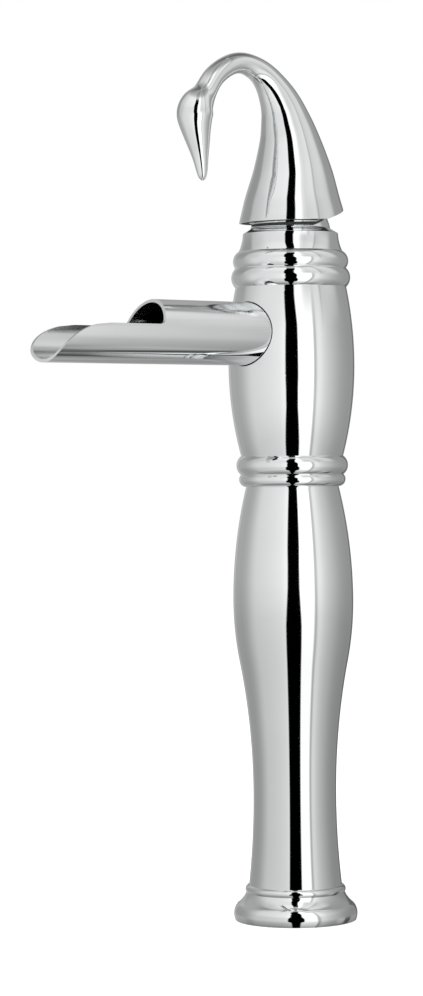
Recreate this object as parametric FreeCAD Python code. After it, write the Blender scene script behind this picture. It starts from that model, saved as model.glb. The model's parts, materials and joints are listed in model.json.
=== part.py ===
import FreeCAD, Part
import math
import os

# Tall single-lever basin faucet with a swan handle and an open trough spout.
# Millimetres, +Z up, origin at the middle of the base on the deck.
# The spout and the swan face -Y, and +X is the cold side.

V = FreeCAD.Vector
X_AXIS = V(1, 0, 0)
Y_AXIS = V(0, 1, 0)
Z_AXIS = V(0, 0, 1)

# Clearances
slip = 0.05
running_gap = 0.3
seat_gap = 0.2

# Base flange: rounded rim, cove and bead
foot_contact_radius = 25.0
rim_radius = 25.5
rim_mid_height = 3.2
rim_top_radius = 24.1
rim_height = 6.6
cove_top_radius = 20.3
cove_height = 4.8
cove_sag = 0.3
foot_bead_radius = 20.7
foot_bead_height = 3.1
gasket_inner_radius = 20.0
gasket_outer_radius = 23.0
gasket_thickness = 1.2

# Base block: carries the hose inlets and the stud holes
block_radius = 17.3
block_disc_height = 9.0
block_hub_radius = 13.8
block_hub_height = 9.0
inlet_offset = 6.5
inlet_thread_radius = 4.5
inlet_thread_depth = 10.5
inlet_passage_radius = 3.0
stud_hole_radius = 2.5
stud_hole_depth = 8.0
stud_hole_offset = 11.8

# Riser tubes inside the column
riser_radius = 4.0
riser_wall = 0.8
riser_engagement = 7.0
riser_stop = 0.3
seal_section = 1.1

# Lower column: four tangent arcs and a bead
column_foot_radius = 19.2
column_waist_radius = 17.1
column_bulge_radius = 24.75
column_neck_radius = 19.1
column_foot_rise = 37.7
column_waist_to_bulge = 79.5
column_bulge_to_neck = 47.0
bulge_arc_radius = 130.0
column_wall = 2.4
column_bead_radius = 21.9
column_bead_height = 5.0
column_spigot_length = 5.0

# Joint between the column and the body
joint_face_radius = 21.2
nipple_radius = 16.0
nipple_bore_radius = 13.0
nipple_half_length = 14.0
joint_groove_radius = 18.5
joint_seal_section = 1.5

# Body: bead, barrel and two rings
body_bead_radius = 23.0
body_bead_height = 7.7
barrel_foot_radius = 21.05
barrel_radius = 25.95
barrel_top_radius = 22.85
barrel_lower_height = 37.8
barrel_upper_height = 31.5
lower_ring_radius = 24.5
lower_ring_height = 7.9
ring_groove_radius = 22.8
upper_ring_radius = 23.7
upper_ring_height = 6.8
body_top_radius = 21.6
body_cavity_radius = 20.5
body_cavity_taper = 10.0
core_floor = 5.0

# Spout: round tube, cut open to a trough
spout_radius = 12.9
spout_wall = 1.3
spout_axis_drop = 16.0
spout_reach = 127.5
spout_root = 10.0
trough_edge_rise = 2.5
hood_reach = 77.1
hood_slant_angle = 20.0
hood_corner_radius = 3.0
lip_length = 24.0
spout_chamber_end = 6.5
spout_seal_section = 1.5
spout_seal_inset = 7.95
spout_screw_radius = 2.5
spout_screw_inset = 12.45
spout_screw_recess = 0.6

# Bonnet over the cartridge
bonnet_flare_height = 7.4
bonnet_flare_radius = 21.4
bonnet_flare_sag = 0.4
bonnet_radius = 19.6
bonnet_shoulder_height = 2.0
bonnet_neck_radius = 16.4
bonnet_neck_wall = 3.0
bonnet_wall = 2.0
bonnet_spigot_length = 2.8
bonnet_spigot_wall = 2.8

# Cartridge
cartridge_depth = 18.2
cartridge_radius = 17.4
cartridge_wall = 1.1
cartridge_base_thickness = 3.5
cartridge_shoulder_height = 7.0
cartridge_lip_thickness = 2.8
thread_step = 1.5
nut_thickness = 4.5
nut_wall = 4.0
nut_slot_width = 4.0
nut_slot_depth = 2.0
nut_slot_count = 4
peg_radius = 1.5
peg_length = 2.0
peg_x = 11.0
peg_y = 9.0
fixed_disc_thickness = 3.0
moving_disc_radius = 8.6
moving_disc_thickness = 3.0
port_radius = 2.4
port_x = 5.8
port_y = -2.6
disc_port_radius = 2.0
disc_port_x = 5.0
disc_port_y = -4.0
outlet_y = 1.5
outlet_radius = 2.4
outlet_drop = 11.0
port_seal_wall = 0.9
port_seal_height = 1.2
mixing_pocket_width = 11.0
mixing_pocket_length = 7.0
mixing_pocket_depth = 1.2
mixing_pocket_y = 2.0
carrier_height = 7.0
carrier_lip = 0.6
carrier_lip_depth = 1.0

# Lever mechanism
rotor_lift = 0.7
rotor_flange_thickness = 2.8
rotor_neck_radius = 10.5
rotor_neck_height = 10.0
rotor_slot_width = 8.4
rotor_slot_length = 17.0
pivot_above_flange = 5.0
pin_radius = 1.5
pin_length = 18.0
stem_arm = 10.0
stem_ball_radius = 2.6
stem_peg_radius = 1.8
stem_block_depth = 7.0
stem_block_drop = 6.5
stem_block_rise = 6.0
stem_shank_size = 7.0
stem_shank_rise = 22.5
lift_angle = 22.0

# Swan handle
skirt_gap = 2.8
skirt_rake_angle = 1.5
skirt_bevel_angle = 16.5
skirt_bevel_start = 0.8
dome_gap = 0.45
boss_radius = 7.6
boss_rise = 10.5
bush_radius = 6.3
bush_clearance = 0.4
screw_rise = 19.5
screw_radius = 2.5
screw_length = 10.0
plug_radius = 3.2
plug_inner_place = 15.0

# Swan stations from under the skirt over the neck to the bill:
# forward reach, height over the skirt's edge, radius.
swan_stations = [
    (-1.2, -2.6, 22.4),
    (-1.3, 2.4, 21.45),
    (-1.3, 7.4, 20.25),
    (-1.4, 12.4, 18.85),
    (-1.4, 18.4, 17.15),
    (-1.0, 24.4, 15.35),
    (-0.3, 30.4, 13.55),
    (0.8, 36.4, 11.75),
    (2.2, 41.4, 10.35),
    (4.0, 46.4, 8.95),
    (6.6, 51.1, 7.7),
    (10.3, 55.9, 6.35),
    (14.8, 59.9, 5.3),
    (20.3, 62.5, 4.6),
    (26.2, 63.5, 4.25),
    (31.9, 62.3, 4.2),
    (37.0, 59.6, 4.3),
    (41.2, 56.1, 4.4),
    (44.0, 52.3, 4.55),
    (45.9, 49.5, 5.0),
    (47.6, 47.4, 5.9),
    (49.4, 45.0, 6.85),
    (50.6, 41.4, 7.35),
    (50.4, 37.4, 6.65),
    (49.7, 33.4, 5.6),
    (48.9, 29.4, 4.6),
    (48.2, 25.6, 3.65),
    (47.6, 21.8, 2.85),
    (47.2, 18.7, 2.3),
    (47.0, 16.6, 1.75),
    (46.9, 15.5, 1.2),
    (46.9, 14.9, 0.6),
]
loft_degree = 2
section_points = 12

# Levels worked out from the sizes above
z_cove_top = rim_height + cove_height
z_flange_top = z_cove_top + foot_bead_height
z_waist = z_flange_top + column_foot_rise
z_bulge = z_waist + column_waist_to_bulge
z_neck = z_bulge + column_bulge_to_neck
z_joint = z_neck + column_bead_height
z_barrel_foot = z_joint + body_bead_height
z_barrel = z_barrel_foot + barrel_lower_height
z_barrel_top = z_barrel + barrel_upper_height
z_ring_groove = z_barrel_top + lower_ring_height
z_body_top = z_ring_groove + upper_ring_height
z_bonnet_edge = z_body_top + bonnet_flare_height
z_shoulder = z_bonnet_edge + bonnet_shoulder_height
z_skirt = z_shoulder + skirt_gap

z_seat = z_body_top - cartridge_depth
z_spout = z_seat - spout_axis_drop
z_core = z_spout - spout_radius - core_floor

z_base_top = z_seat + cartridge_base_thickness
z_fixed_top = z_base_top + fixed_disc_thickness
z_moving_top = z_fixed_top + moving_disc_thickness
z_carrier_top = z_moving_top + carrier_height
z_cart_shoulder = z_base_top + cartridge_shoulder_height
z_rotor = z_carrier_top + rotor_lift
z_rotor_flange = z_rotor + rotor_flange_thickness
z_cart_lip = z_rotor_flange + seat_gap
z_cart_top = z_cart_lip + cartridge_lip_thickness
z_pivot = z_rotor_flange + pivot_above_flange
z_rotor_top = z_rotor_flange + rotor_neck_height
z_ball = z_pivot - stem_arm
z_boss = z_pivot + boss_rise
z_screw = z_pivot + screw_rise
z_stem_top = z_pivot + stem_shank_rise
z_socket_top = z_stem_top + bush_clearance

z_riser_foot = block_disc_height + block_hub_height - riser_engagement
z_riser_top = z_core + riser_engagement - riser_stop

lift_travel = stem_arm * math.radians(lift_angle)
carrier_radius = moving_disc_radius + slip + carrier_lip
cartridge_bore_radius = carrier_radius + lift_travel + running_gap + slip
cartridge_upper_radius = cartridge_bore_radius + cartridge_wall
fixed_disc_radius = cartridge_bore_radius - seat_gap
rotor_flange_radius = cartridge_bore_radius - running_gap
body_bore_radius = cartridge_radius + seat_gap
thread_radius = body_bore_radius + thread_step
nut_radius = thread_radius - slip
z_thread = z_cart_shoulder - running_gap
z_nut_top = z_cart_shoulder + nut_thickness
flange_bore_radius = block_radius + slip
joint_bore_radius = nipple_radius + slip
riser_bore_radius = riser_radius + slip
riser_seal_radius = riser_radius + seal_section / 2
spout_bore_radius = spout_radius + slip
spout_seal_place = barrel_radius - spout_seal_inset
spout_screw_place = barrel_radius - spout_screw_inset
dome_radius = math.hypot(bonnet_neck_radius, z_shoulder - z_pivot)
skirt_cavity_radius = dome_radius + dome_gap
pivot_point = V(0, 0, z_pivot)


def cylinder(radius, height, place, axis=Z_AXIS):
    return Part.makeCylinder(radius, height, place, axis)


def ring(outer, inner, height, place, axis=Z_AXIS):
    return cylinder(outer, height, place, axis).cut(cylinder(inner, height, place, axis))


def box(size_x, size_y, size_z, middle):
    corner = V(middle.x - size_x / 2, middle.y - size_y / 2, middle.z - size_z / 2)
    return Part.makeBox(size_x, size_y, size_z, corner)


def o_ring(major, section, place, axis=Z_AXIS):
    return Part.makeTorus(major, section / 2, place, axis)


def point(radius, z):
    return V(radius, 0, z)


def line(start, end):
    return Part.LineSegment(start, end).toShape()


def arc(start, through, end):
    return Part.Arc(start, through, end).toShape()


def path(points):
    return [line(a, b) for a, b in zip(points, points[1:])]


def bead(r_low, z_low, r_mid, r_high, z_high):
    return arc(point(r_low, z_low), point(r_mid, (z_low + z_high) / 2), point(r_high, z_high))


def outward(solid):
    return solid if solid.Volume > 0 else solid.reversed()


def turned(edges):
    face = Part.Face(Part.Wire(edges))
    solid = face.revolve(V(0, 0, 0), Z_AXIS, 360)
    return outward(solid)


def crown_arc(r_end, z_end, r_top, z_top):
    # Arc that ends at (r_end, z_end) and is vertical at (r_top, z_top).
    rise = abs(z_top - z_end)
    step = r_top - r_end
    radius = (rise ** 2 + step ** 2) / (2 * abs(step))
    half = math.asin(rise / radius) / 2
    away = math.copysign(radius * (1 - math.cos(half)), step)
    mid_z = z_top + math.copysign(radius * math.sin(half), z_end - z_top)
    return arc(point(r_end, z_end), point(r_top - away, mid_z), point(r_top, z_top))


def waist_arcs(inset):
    # Two tangent arcs from the waist up to the bulge, drawn in by inset.
    rise = z_bulge - z_waist
    step = column_bulge_radius - column_waist_radius
    both = (rise ** 2 + step ** 2) / (2 * step)
    share = 1 - bulge_arc_radius / both
    z_bend = z_waist + rise * share
    r_waist = column_waist_radius - inset
    r_bulge = column_bulge_radius - inset
    r_bend = r_waist + step * share
    lower = crown_arc(r_bend, z_bend, r_waist, z_waist)
    upper = crown_arc(r_bend, z_bend, r_bulge, z_bulge)
    return [lower, upper]


def base_flange():
    cove_mid = point(
        (rim_top_radius + cove_top_radius) / 2 - cove_sag, rim_height + cove_height / 2 - cove_sag,
    )
    edges = path([
        point(column_foot_radius, z_flange_top),
        point(flange_bore_radius, z_flange_top),
        point(flange_bore_radius, 0),
        point(gasket_inner_radius, 0),
        point(gasket_inner_radius, gasket_thickness),
        point(gasket_outer_radius, gasket_thickness),
        point(gasket_outer_radius, 0),
        point(foot_contact_radius, 0),
    ])
    edges.append(arc(
        point(foot_contact_radius, 0), point(rim_radius, rim_mid_height), point(rim_top_radius, rim_height),
    ))
    edges.append(arc(point(rim_top_radius, rim_height), cove_mid, point(cove_top_radius, z_cove_top)))
    edges.append(bead(cove_top_radius, z_cove_top, foot_bead_radius, column_foot_radius, z_flange_top))
    return turned(edges)


def base_gasket():
    outer = gasket_outer_radius - slip
    inner = gasket_inner_radius + slip
    return ring(outer, inner, gasket_thickness, V(0, 0, 0))


def riser_places():
    return [V(inlet_offset, 0, 0), V(-inlet_offset, 0, 0)]


def base_block():
    top = block_disc_height + block_hub_height
    solid = cylinder(block_radius, block_disc_height, V(0, 0, 0))
    solid = solid.fuse(cylinder(block_hub_radius, top, V(0, 0, 0)))
    for place in riser_places():
        solid = solid.cut(cylinder(inlet_thread_radius, inlet_thread_depth, place))
        solid = solid.cut(cylinder(inlet_passage_radius, top, place))
        solid = solid.cut(cylinder(riser_bore_radius, riser_engagement, place + V(0, 0, z_riser_foot)))
        gland = cylinder(riser_radius + seal_section, seal_section, place + V(0, 0, top - seal_section))
        solid = solid.cut(gland)
    for side in (1, -1):
        place = V(0, side * stud_hole_offset, 0)
        solid = solid.cut(cylinder(stud_hole_radius, stud_hole_depth, place))
    return solid.removeSplitter()


def riser(side):
    place = V(side * inlet_offset, 0, z_riser_foot)
    return ring(riser_radius, riser_radius - riser_wall, z_riser_top - z_riser_foot, place)


def riser_seals():
    top = block_disc_height + block_hub_height
    rings = []
    for place in riser_places():
        for z in (top - seal_section / 2, z_core + seal_section / 2):
            rings.append(o_ring(riser_seal_radius, seal_section, place + V(0, 0, z)))
    return Part.makeCompound(rings)


def lower_column():
    z_spigot = z_flange_top - column_spigot_length
    bore = column_waist_radius - column_wall
    bulge_bore = column_bulge_radius - column_wall
    z_thread_end = z_joint - nipple_half_length - running_gap
    z_taper = z_thread_end - (bulge_bore - joint_bore_radius)
    edges = path([
        point(column_foot_radius, z_flange_top),
        point(block_radius, z_flange_top),
        point(block_radius, z_spigot),
        point(bore, z_spigot),
        point(bore, z_waist),
    ])
    edges += waist_arcs(column_wall)
    rise = z_taper - z_bulge
    outer_rise = z_neck - z_bulge
    outer_step = column_bulge_radius - column_neck_radius
    outer_arc = (outer_rise ** 2 + outer_step ** 2) / (2 * outer_step)
    r_taper = bulge_bore - (outer_arc - math.sqrt(outer_arc ** 2 - rise ** 2))
    edges.append(crown_arc(r_taper, z_taper, bulge_bore, z_bulge))
    edges += path([
        point(r_taper, z_taper),
        point(joint_bore_radius, z_thread_end),
        point(joint_bore_radius, z_joint),
        point(joint_face_radius, z_joint),
    ])
    edges.append(bead(column_neck_radius, z_neck, column_bead_radius, joint_face_radius, z_joint))
    edges.append(crown_arc(column_neck_radius, z_neck, column_bulge_radius, z_bulge))
    edges += waist_arcs(0)
    edges.append(crown_arc(column_foot_radius, z_flange_top, column_waist_radius, z_waist))
    return turned(Part.__sortEdges__(edges))


def joint_nipple():
    foot = V(0, 0, z_joint - nipple_half_length)
    return ring(nipple_radius, nipple_bore_radius, 2 * nipple_half_length, foot)


def joint_oring():
    return o_ring(joint_groove_radius, joint_seal_section, V(0, 0, z_joint + joint_seal_section / 2))


def body_blank():
    z_thread_end = z_joint + nipple_half_length + running_gap
    z_taper = z_thread_end + body_cavity_taper
    edges = path([
        point(joint_face_radius, z_joint),
        point(joint_bore_radius, z_joint),
        point(joint_bore_radius, z_thread_end),
        point(body_cavity_radius, z_taper),
        point(body_cavity_radius, z_core),
        point(0, z_core),
        point(0, z_seat),
        point(body_bore_radius, z_seat),
        point(body_bore_radius, z_thread),
        point(thread_radius, z_thread),
        point(thread_radius, z_body_top),
        point(body_top_radius, z_body_top),
    ])
    edges.append(bead(ring_groove_radius, z_ring_groove, upper_ring_radius, body_top_radius, z_body_top))
    edges.append(bead(barrel_top_radius, z_barrel_top, lower_ring_radius, ring_groove_radius, z_ring_groove))
    edges.append(crown_arc(barrel_top_radius, z_barrel_top, barrel_radius, z_barrel))
    edges.append(crown_arc(barrel_foot_radius, z_barrel_foot, barrel_radius, z_barrel))
    edges.append(bead(joint_face_radius, z_joint, body_bead_radius, barrel_foot_radius, z_barrel_foot))
    return turned(Part.__sortEdges__(edges))


def upper_body():
    solid = body_blank()
    spout_mouth = V(0, -barrel_radius - spout_radius, z_spout)
    depth = -spout_root - spout_mouth.y
    solid = solid.cut(cylinder(spout_bore_radius, depth, spout_mouth, Y_AXIS))
    chamber_depth = -spout_chamber_end - spout_mouth.y
    solid = solid.cut(cylinder(spout_radius - spout_wall, chamber_depth, spout_mouth, Y_AXIS))
    gland = V(0, -spout_seal_place - spout_seal_section / 2, z_spout)
    gland_radius = spout_bore_radius + spout_seal_section
    solid = solid.cut(cylinder(gland_radius, spout_seal_section, gland, Y_AXIS))
    solid = solid.cut(cylinder(spout_screw_radius, core_floor, V(0, -spout_screw_place, z_core)))
    for side in (1, -1):
        foot = V(side * inlet_offset, 0, z_core)
        solid = solid.cut(cylinder(riser_bore_radius, riser_engagement, foot))
        solid = solid.cut(cylinder(riser_radius + seal_section, seal_section, foot))
        passage = V(side * port_x, port_y, z_core + riser_engagement - port_radius)
        solid = solid.cut(cylinder(port_radius, z_seat - passage.z, passage))
        peg = V(side * peg_x, peg_y, z_seat - peg_length - running_gap)
        solid = solid.cut(cylinder(peg_radius + slip, peg_length + running_gap, peg))
    outlet_top = V(0, outlet_y, z_seat)
    outlet_foot = V(0, -spout_root + spout_wall, z_seat - outlet_drop)
    outlet_run = outlet_foot - outlet_top
    outlet_start = outlet_top - outlet_run.normalize() * outlet_radius
    outlet_length = (outlet_foot - outlet_start).Length
    solid = solid.cut(cylinder(outlet_radius, outlet_length, outlet_start, outlet_foot - outlet_start))
    groove = ring(
        joint_groove_radius + joint_seal_section / 2 + slip,
        joint_groove_radius - joint_seal_section / 2 - slip,
        joint_seal_section, V(0, 0, z_joint),
    )
    return solid.cut(groove)


def trough_cut():
    # Side view of what is cut away: over the trough, up the hood and off the lip.
    edge = z_spout + trough_edge_rise
    bottom = z_spout - spout_radius
    top = z_spout + 2 * spout_radius
    slant = math.radians(hood_slant_angle)
    hood_foot = V(0, -hood_reach, edge)
    hood_top = V(0, -hood_reach + math.tan(slant) * (top - edge), top)
    corner = math.radians(90 + hood_slant_angle)
    trim = hood_corner_radius / math.tan(corner / 2)
    start = V(0, hood_foot.y - trim, edge)
    up = (hood_top - hood_foot).normalize()
    end = hood_foot + up * trim
    inward = (V(0, -1, 0) + up).normalize()
    reach = hood_corner_radius / math.sin(corner / 2)
    through = hood_foot + inward * (reach - hood_corner_radius)
    beyond = -spout_reach - spout_radius
    lip_end = V(0, -spout_reach, bottom)
    lip_start = V(0, -spout_reach + lip_length, edge)
    lip_edge = lip_curve(lip_start, lip_end)
    edges = [line(hood_top, end), arc(end, through, start), line(start, lip_start), lip_edge]
    below = bottom - spout_radius
    edges += path([
        lip_end, V(0, -spout_reach, below), V(0, beyond, below), V(0, beyond, top), hood_top,
    ])
    face = Part.Face(Part.Wire(Part.__sortEdges__(edges)))
    face.translate(V(-2 * spout_radius, 0, 0))
    return face.extrude(V(4 * spout_radius, 0, 0))


def lip_curve(start, end):
    # Quarter ellipse from the trough's edge down to the lip.
    middle = V(0, start.y, end.z)
    flat = middle.y - end.y
    tall = start.z - end.z
    if flat >= tall:
        curve = Part.Ellipse(end, start, middle)
    else:
        curve = Part.Ellipse(start, end, middle)
    first = curve.parameter(start)
    last = curve.parameter(end)
    quarter = (last - first) % (2 * math.pi)
    if quarter > math.pi:
        first, last = last, first
    return curve.toShape(first, last if last > first else last + 2 * math.pi)


def spout_tube():
    tip = V(0, -spout_reach, z_spout)
    tube = ring(spout_radius, spout_radius - spout_wall, spout_reach - spout_root, tip, Y_AXIS)
    return tube.cut(trough_cut())


def spout_oring():
    major = spout_radius + spout_seal_section / 2
    return o_ring(major, spout_seal_section, V(0, -spout_seal_place, z_spout), Y_AXIS)


def spout_screw():
    length = core_floor - spout_screw_recess - seat_gap
    foot = V(0, -spout_screw_place, z_core + spout_screw_recess)
    solid = cylinder(spout_screw_radius - slip, length, foot)
    return solid.cut(hex_socket(spout_screw_radius, foot, Z_AXIS))


def hex_socket(screw_size, place, axis):
    # Six-sided key socket, about half as wide as the screw.
    across = screw_size / 2
    points = []
    for corner in range(7):
        angle = math.radians(60 * corner)
        points.append(V(across * math.cos(angle), across * math.sin(angle), 0))
    prism = Part.Face(Part.makePolygon(points)).extrude(V(0, 0, screw_size))
    prism.Placement = FreeCAD.Placement(place, FreeCAD.Rotation(Z_AXIS, axis))
    return prism


def dome_point(radius):
    # Point on the ball about the pivot, over which the handle's skirt tilts.
    return point(radius, z_pivot + math.sqrt(dome_radius ** 2 - radius ** 2))


def bonnet():
    spigot_radius = nut_radius
    spigot_bore = spigot_radius - bonnet_spigot_wall
    inner = bonnet_radius - bonnet_wall
    neck_bore = bonnet_neck_radius - bonnet_neck_wall
    dome_mid = (bonnet_neck_radius + neck_bore) / 2
    z_spigot = z_body_top - bonnet_spigot_length
    z_inner = z_bonnet_edge - bonnet_wall
    flare_mid = point(
        (bonnet_flare_radius + bonnet_radius) / 2 - bonnet_flare_sag, z_body_top + bonnet_flare_height / 2,
    )
    edges = path([
        point(bonnet_radius, z_bonnet_edge),
        point(bonnet_neck_radius, z_shoulder),
    ])
    edges.append(arc(point(bonnet_neck_radius, z_shoulder), dome_point(dome_mid), dome_point(neck_bore)))
    edges += path([
        dome_point(neck_bore),
        point(neck_bore, z_shoulder - bonnet_wall / 2),
        point(spigot_bore, z_inner),
        point(spigot_bore, z_spigot),
        point(spigot_radius, z_spigot),
        point(spigot_radius, z_body_top),
        point(bonnet_flare_radius, z_body_top),
    ])
    edges.append(arc(point(bonnet_flare_radius, z_body_top), flare_mid, point(bonnet_radius, z_bonnet_edge)))
    return turned(edges)


def cartridge_nut():
    foot = V(0, 0, z_cart_shoulder)
    solid = ring(nut_radius, nut_radius - nut_wall, nut_thickness, foot)
    for turn in range(nut_slot_count):
        middle = V(0, nut_radius, z_nut_top - nut_slot_depth / 2)
        slot = box(nut_slot_width, 2 * nut_radius, nut_slot_depth, middle)
        slot.rotate(V(0, 0, 0), Z_AXIS, 360 / nut_slot_count * (turn + 0.5))
        solid = solid.cut(slot)
    return solid


def cartridge_housing():
    edges = path([
        point(cartridge_bore_radius, z_base_top),
        point(cartridge_radius, z_base_top),
        point(cartridge_radius, z_cart_shoulder),
        point(cartridge_upper_radius, z_cart_shoulder),
        point(cartridge_upper_radius, z_cart_top),
        point(rotor_neck_radius + running_gap, z_cart_top),
        point(rotor_neck_radius + running_gap, z_cart_lip),
        point(cartridge_bore_radius, z_cart_lip),
        point(cartridge_bore_radius, z_base_top),
    ])
    return turned(edges)


def port_places():
    return [V(port_x, port_y, 0), V(-port_x, port_y, 0), V(0, outlet_y, 0)]


def cartridge_base():
    solid = cylinder(cartridge_radius, cartridge_base_thickness, V(0, 0, z_seat))
    for side in (1, -1):
        solid = solid.fuse(cylinder(peg_radius, peg_length, V(side * peg_x, peg_y, z_seat - peg_length)))
    for place in port_places():
        foot = place + V(0, 0, z_seat)
        solid = solid.cut(cylinder(port_radius, cartridge_base_thickness, foot))
        solid = solid.cut(cylinder(port_radius + port_seal_wall, port_seal_height, foot))
    return solid.removeSplitter()


def port_seals():
    seals = []
    for place in port_places():
        foot = place + V(0, 0, z_seat)
        seals.append(ring(port_radius + port_seal_wall, port_radius, port_seal_height, foot))
    return Part.makeCompound(seals)


def fixed_disc():
    solid = cylinder(fixed_disc_radius, fixed_disc_thickness, V(0, 0, z_base_top))
    for side in (1, -1):
        place = V(side * disc_port_x, disc_port_y, z_base_top)
        solid = solid.cut(cylinder(disc_port_radius, fixed_disc_thickness, place))
    return solid.cut(cylinder(outlet_radius, fixed_disc_thickness, V(0, outlet_y, z_base_top)))


def moving_disc():
    solid = cylinder(moving_disc_radius, moving_disc_thickness, V(0, 0, z_fixed_top))
    middle = V(0, mixing_pocket_y, z_fixed_top + mixing_pocket_depth / 2)
    return solid.cut(box(mixing_pocket_width, mixing_pocket_length, mixing_pocket_depth, middle))


def disc_carrier():
    foot = z_moving_top - carrier_lip_depth
    solid = cylinder(carrier_radius, carrier_height + carrier_lip_depth, V(0, 0, foot))
    solid = solid.cut(cylinder(moving_disc_radius + slip, carrier_lip_depth, V(0, 0, foot)))
    pocket = stem_ball_radius + running_gap
    z_pocket = z_ball - pocket
    return solid.cut(cylinder(pocket, z_carrier_top - z_pocket, V(0, 0, z_pocket)))


def rotor():
    solid = cylinder(rotor_flange_radius, rotor_flange_thickness, V(0, 0, z_rotor))
    solid = solid.fuse(cylinder(rotor_neck_radius, z_rotor_top - z_rotor, V(0, 0, z_rotor)))
    middle = V(0, 0, (z_rotor + z_rotor_top) / 2)
    solid = solid.cut(box(rotor_slot_width, rotor_slot_length, z_rotor_top - z_rotor, middle))
    bore = cylinder(pin_radius + slip, 2 * rotor_neck_radius, V(-rotor_neck_radius, 0, z_pivot), X_AXIS)
    return solid.cut(bore).removeSplitter()


def stem_pin():
    return cylinder(pin_radius, pin_length, V(-pin_length / 2, 0, z_pivot), X_AXIS)


def stem():
    block_height = stem_block_drop + stem_block_rise
    block_width = rotor_slot_width - 2 * seat_gap
    block_middle = pivot_point + V(0, 0, (stem_block_rise - stem_block_drop) / 2)
    solid = box(block_width, stem_block_depth, block_height, block_middle)
    shank_middle = pivot_point + V(0, 0, stem_shank_rise / 2)
    solid = solid.fuse(box(stem_shank_size, stem_shank_size, stem_shank_rise, shank_middle))
    solid = solid.fuse(cylinder(stem_peg_radius, stem_arm, V(0, 0, z_ball)))
    solid = solid.fuse(Part.makeSphere(stem_ball_radius, V(0, 0, z_ball)))
    bore = cylinder(pin_radius + slip, block_width, V(-block_width / 2, 0, z_pivot), X_AXIS)
    return solid.cut(bore).removeSplitter()


def swan_place(forward, rise):
    return V(0, -forward, z_skirt + rise)


def swan_section(middle, radius, normal):
    # Circle square to the swan's line, drawn from its front so that the sections line up.
    ahead = normal.cross(X_AXIS)
    points = []
    for step in range(section_points):
        angle = 2 * math.pi * step / section_points
        points.append(middle + ahead * (radius * math.cos(angle)) + X_AXIS * (radius * math.sin(angle)))
    curve = Part.BSplineCurve()
    curve.interpolate(Points=points, PeriodicFlag=True)
    return Part.Wire(curve.toShape())


def swan_blank():
    spots = [swan_place(forward, rise) for forward, rise, radius in swan_stations]
    last = len(spots) - 1
    wires = []
    for index, spot in enumerate(spots):
        normal = (spots[min(index + 1, last)] - spots[max(index - 1, 0)]).normalize()
        wires.append(swan_section(spot, swan_stations[index][2], normal))
    return outward(Part.makeLoft(wires, True, False, False, loft_degree))


def skirt_wedge(angle, start):
    # All that lies under a plane that rises to the rear from the skirt's edge.
    size = 8 * skirt_cavity_radius
    wedge = Part.makeBox(size, size, size, V(-size / 2, -size / 2, -size))
    wedge.rotate(V(0, 0, 0), X_AXIS, angle)
    wedge.translate(V(0, start, z_skirt))
    return wedge


def swan_outline():
    # The skirt is level at the front and rises at the rear, which gives the lever room to lift.
    solid = swan_blank().cut(skirt_wedge(skirt_rake_angle, 0))
    return solid.cut(skirt_wedge(skirt_bevel_angle, skirt_bevel_start))


def screw_start():
    return V(0, stem_shank_size / 2 + slip, z_screw)


def plug_cylinder(radius):
    length = 2 * skirt_cavity_radius
    return cylinder(radius, length, V(0, plug_inner_place, z_screw), Y_AXIS)


def swan_handle(outline):
    cavity = Part.makeSphere(skirt_cavity_radius, pivot_point)
    boss = cylinder(boss_radius, skirt_cavity_radius, V(0, 0, z_boss))
    solid = outline.cut(cavity.cut(boss))
    solid = solid.cut(cylinder(bush_radius + slip, z_socket_top - z_boss, V(0, 0, z_boss)))
    solid = solid.cut(cylinder(screw_radius, plug_inner_place, V(0, 0, z_screw), Y_AXIS))
    return solid.cut(plug_cylinder(plug_radius))


def handle_bush():
    height = z_socket_top - z_boss
    solid = cylinder(bush_radius, height, V(0, 0, z_boss))
    hole = stem_shank_size + 2 * slip
    solid = solid.cut(box(hole, hole, 2 * (z_stem_top - z_boss), V(0, 0, z_boss)))
    return solid.cut(cylinder(screw_radius, bush_radius, V(0, 0, z_screw), Y_AXIS))


def set_screw():
    solid = cylinder(screw_radius - slip, screw_length, screw_start(), Y_AXIS)
    end = screw_start() + V(0, screw_length, 0)
    return solid.cut(hex_socket(screw_radius, end, V(0, -1, 0)))


def screw_plug(outline):
    return plug_cylinder(plug_radius - slip).common(outline)


def build():
    outline = swan_outline()
    return {
        "base_flange": base_flange(),
        "base_gasket": base_gasket(),
        "base_block": base_block(),
        "hot_riser": riser(-1),
        "cold_riser": riser(1),
        "riser_seals": riser_seals(),
        "lower_column": lower_column(),
        "joint_nipple": joint_nipple(),
        "joint_oring": joint_oring(),
        "upper_body": upper_body(),
        "spout_tube": spout_tube(),
        "spout_oring": spout_oring(),
        "spout_screw": spout_screw(),
        "bonnet": bonnet(),
        "cartridge_nut": cartridge_nut(),
        "cartridge_housing": cartridge_housing(),
        "cartridge_base": cartridge_base(),
        "port_seals": port_seals(),
        "fixed_disc": fixed_disc(),
        "moving_disc": moving_disc(),
        "disc_carrier": disc_carrier(),
        "rotor": rotor(),
        "stem": stem(),
        "stem_pin": stem_pin(),
        "swan_handle": swan_handle(outline),
        "handle_bush": handle_bush(),
        "set_screw": set_screw(),
        "screw_plug": screw_plug(outline),
    }


os.makedirs("parts", exist_ok=True)
for node, shape in build().items():
    shape.exportStep("parts/" + node + ".step")
    print(node, "solids", len(shape.Solids), "valid", shape.isValid(), "volume", round(shape.Volume, 1))
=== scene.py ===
import json
import math

import bmesh
import bpy
import numpy as np
from mathutils import Matrix, Vector

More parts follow.
